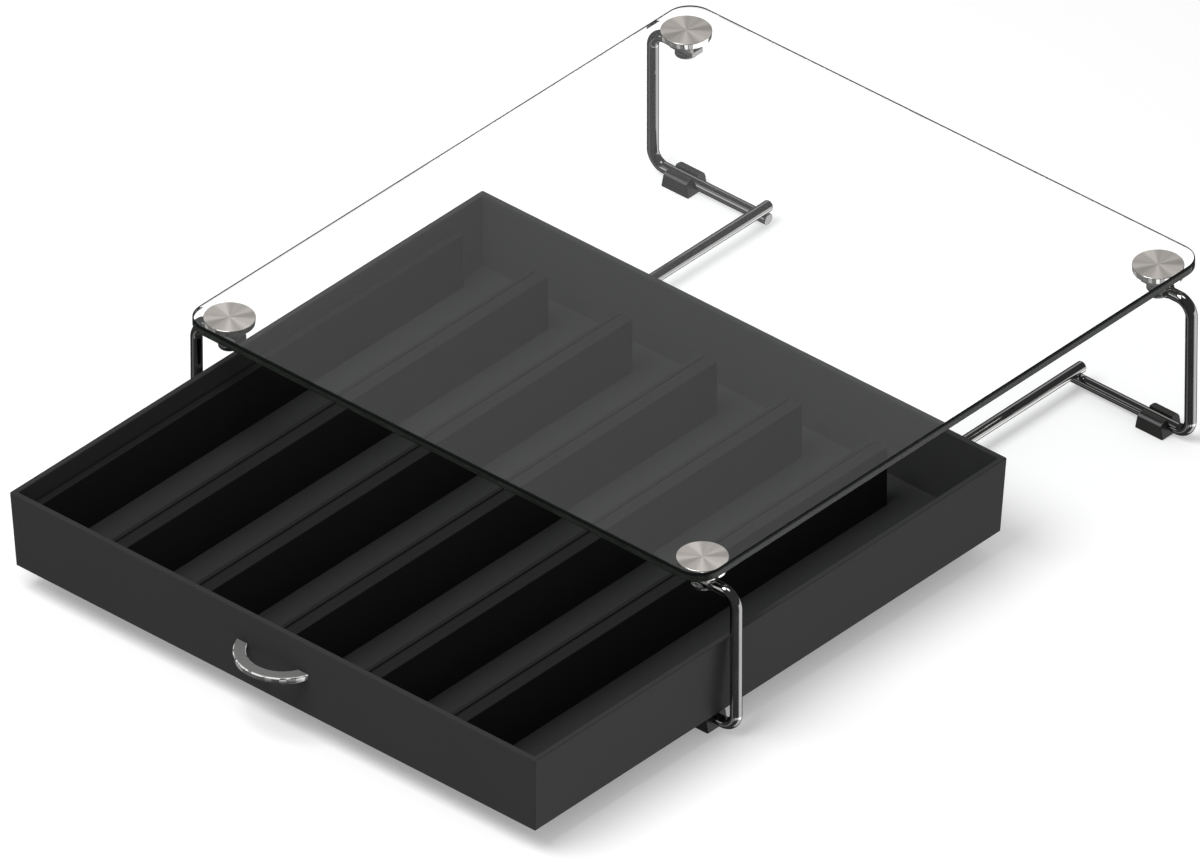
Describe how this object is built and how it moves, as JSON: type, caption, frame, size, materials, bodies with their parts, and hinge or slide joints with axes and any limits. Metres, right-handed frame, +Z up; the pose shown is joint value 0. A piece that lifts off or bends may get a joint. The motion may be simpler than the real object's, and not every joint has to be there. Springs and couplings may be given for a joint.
{
  "type": "coffee pod drawer",
  "caption": "Slide-out drawer with lengthwise channels for coffee pods, under a glass shelf that stands on bent rod legs.",
  "frame": {"origin": "on the counter, below the middle of the whole outline with the drawer 133 mm out", "axes": "+X to the right, +Y to the back, +Z up; the drawer's handle faces -Y"},
  "size_m": [0.35, 0.499, 0.0966],
  "materials": {
    "glass": "clear tempered glass with a polished dark green edge",
    "clear_bond": "clear adhesive film",
    "disc_steel": "turned, with fine rings",
    "rods": "polished dark chrome",
    "fasteners": "plated",
    "feet": "matt",
    "tray": "satin, fine grain",
    "dividers": "matt with smoother lips",
    "handle": "satin above, bright at the edge"
  },
  "bodies": {
    "stand": {"glass_top": "glass", "glass_bonds": "clear_bond", "disc_front_left": "disc_steel", "disc_front_right": "disc_steel", "disc_rear_left": "disc_steel", "disc_rear_right": "disc_steel", "leg_screws": "fasteners", "leg_front_left": "rods", "leg_front_right": "rods", "leg_rear_left": "rods", "leg_rear_right": "rods", "rail_left": "rods", "rail_right": "rods", "foot_front_left": "feet", "foot_front_right": "feet", "foot_rear_left": "feet", "foot_rear_right": "feet"},
    "drawer": {"drawer_tray": "tray", "divider_1": "dividers", "divider_2": "dividers", "divider_3": "dividers", "divider_4": "dividers", "divider_5": "dividers", "side_guide_left": "dividers", "side_guide_right": "dividers", "handle": "handle", "handle_nuts": "fasteners"}
  },
  "joints": [
    {"name": "drawer_slide", "type": "slide", "parent": "stand", "child": "drawer", "axis": [0, -1, 0], "range_m": [-0.133, 0.035]}
  ]
}
